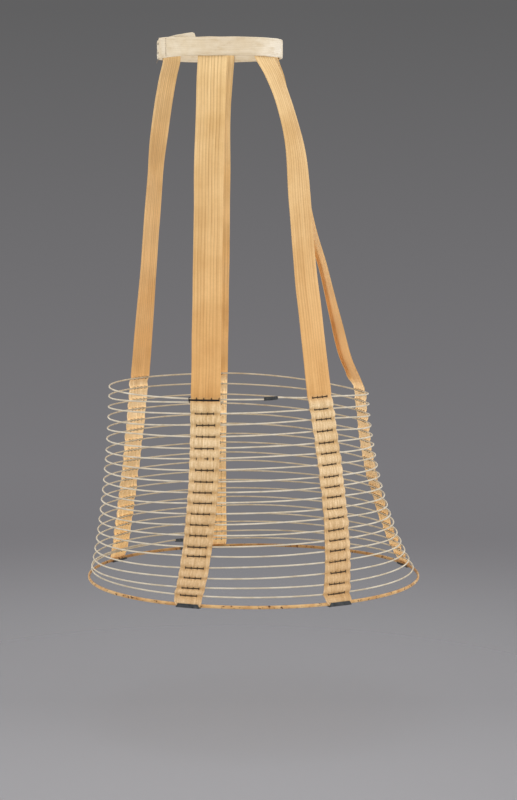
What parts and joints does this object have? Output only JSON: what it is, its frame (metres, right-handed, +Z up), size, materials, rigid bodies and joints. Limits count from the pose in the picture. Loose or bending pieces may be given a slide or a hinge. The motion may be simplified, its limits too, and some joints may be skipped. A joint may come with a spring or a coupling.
{
  "type": "crinoline cage",
  "caption": "Crinoline cage: cloth waistband with hanging tapes that carry a flared spiral of covered spring wire and a thicker hem hoop.",
  "frame": {"origin": "middle of the waistband, at half its height, on the waist's axis", "axes": "+Z up, the front of the wearer faces -Y, the wearer's left is +X"},
  "size_m": [0.5054, 0.5024, 0.8054],
  "materials": {
    "band_cotton": "plain woven cotton, creased",
    "tape_cotton": "woven cotton tape with fine lengthwise lines",
    "wire_cover": "braided cotton cover over spring steel",
    "hem_cover": "worn braided cover over a flat steel, with rust specks",
    "dark_steel": "dull dark grey sheet metal",
    "hook_steel": "aged plated wire",
    "brown_thread": "dark brown thread",
    "black_thread": "black thread"
  },
  "bodies": {
    "root": {"waistband": "band_cotton", "front_hooks": "hook_steel", "front_eyes": "hook_steel", "front_left_tape": "tape_cotton", "front_left_stitching": "brown_thread", "front_left_clip": "dark_steel", "side_left_tape": "tape_cotton", "side_left_stitching": "brown_thread", "side_left_clip": "dark_steel", "centre_back_tape": "tape_cotton", "centre_back_stitching": "brown_thread", "centre_back_clip": "dark_steel", "side_right_tape": "tape_cotton", "side_right_stitching": "brown_thread", "side_right_clip": "dark_steel", "front_right_tape": "tape_cotton", "front_right_stitching": "brown_thread", "front_right_clip": "dark_steel", "top_hoop": "wire_cover", "top_hoop_ferrule": "dark_steel", "spiral_wire": "wire_cover", "lower_hoop": "wire_cover", "lower_hoop_ferrule": "dark_steel", "hem_hoop": "hem_cover", "hem_ferrule": "dark_steel", "lap_binding": "black_thread"}
  },
  "joints": []
}
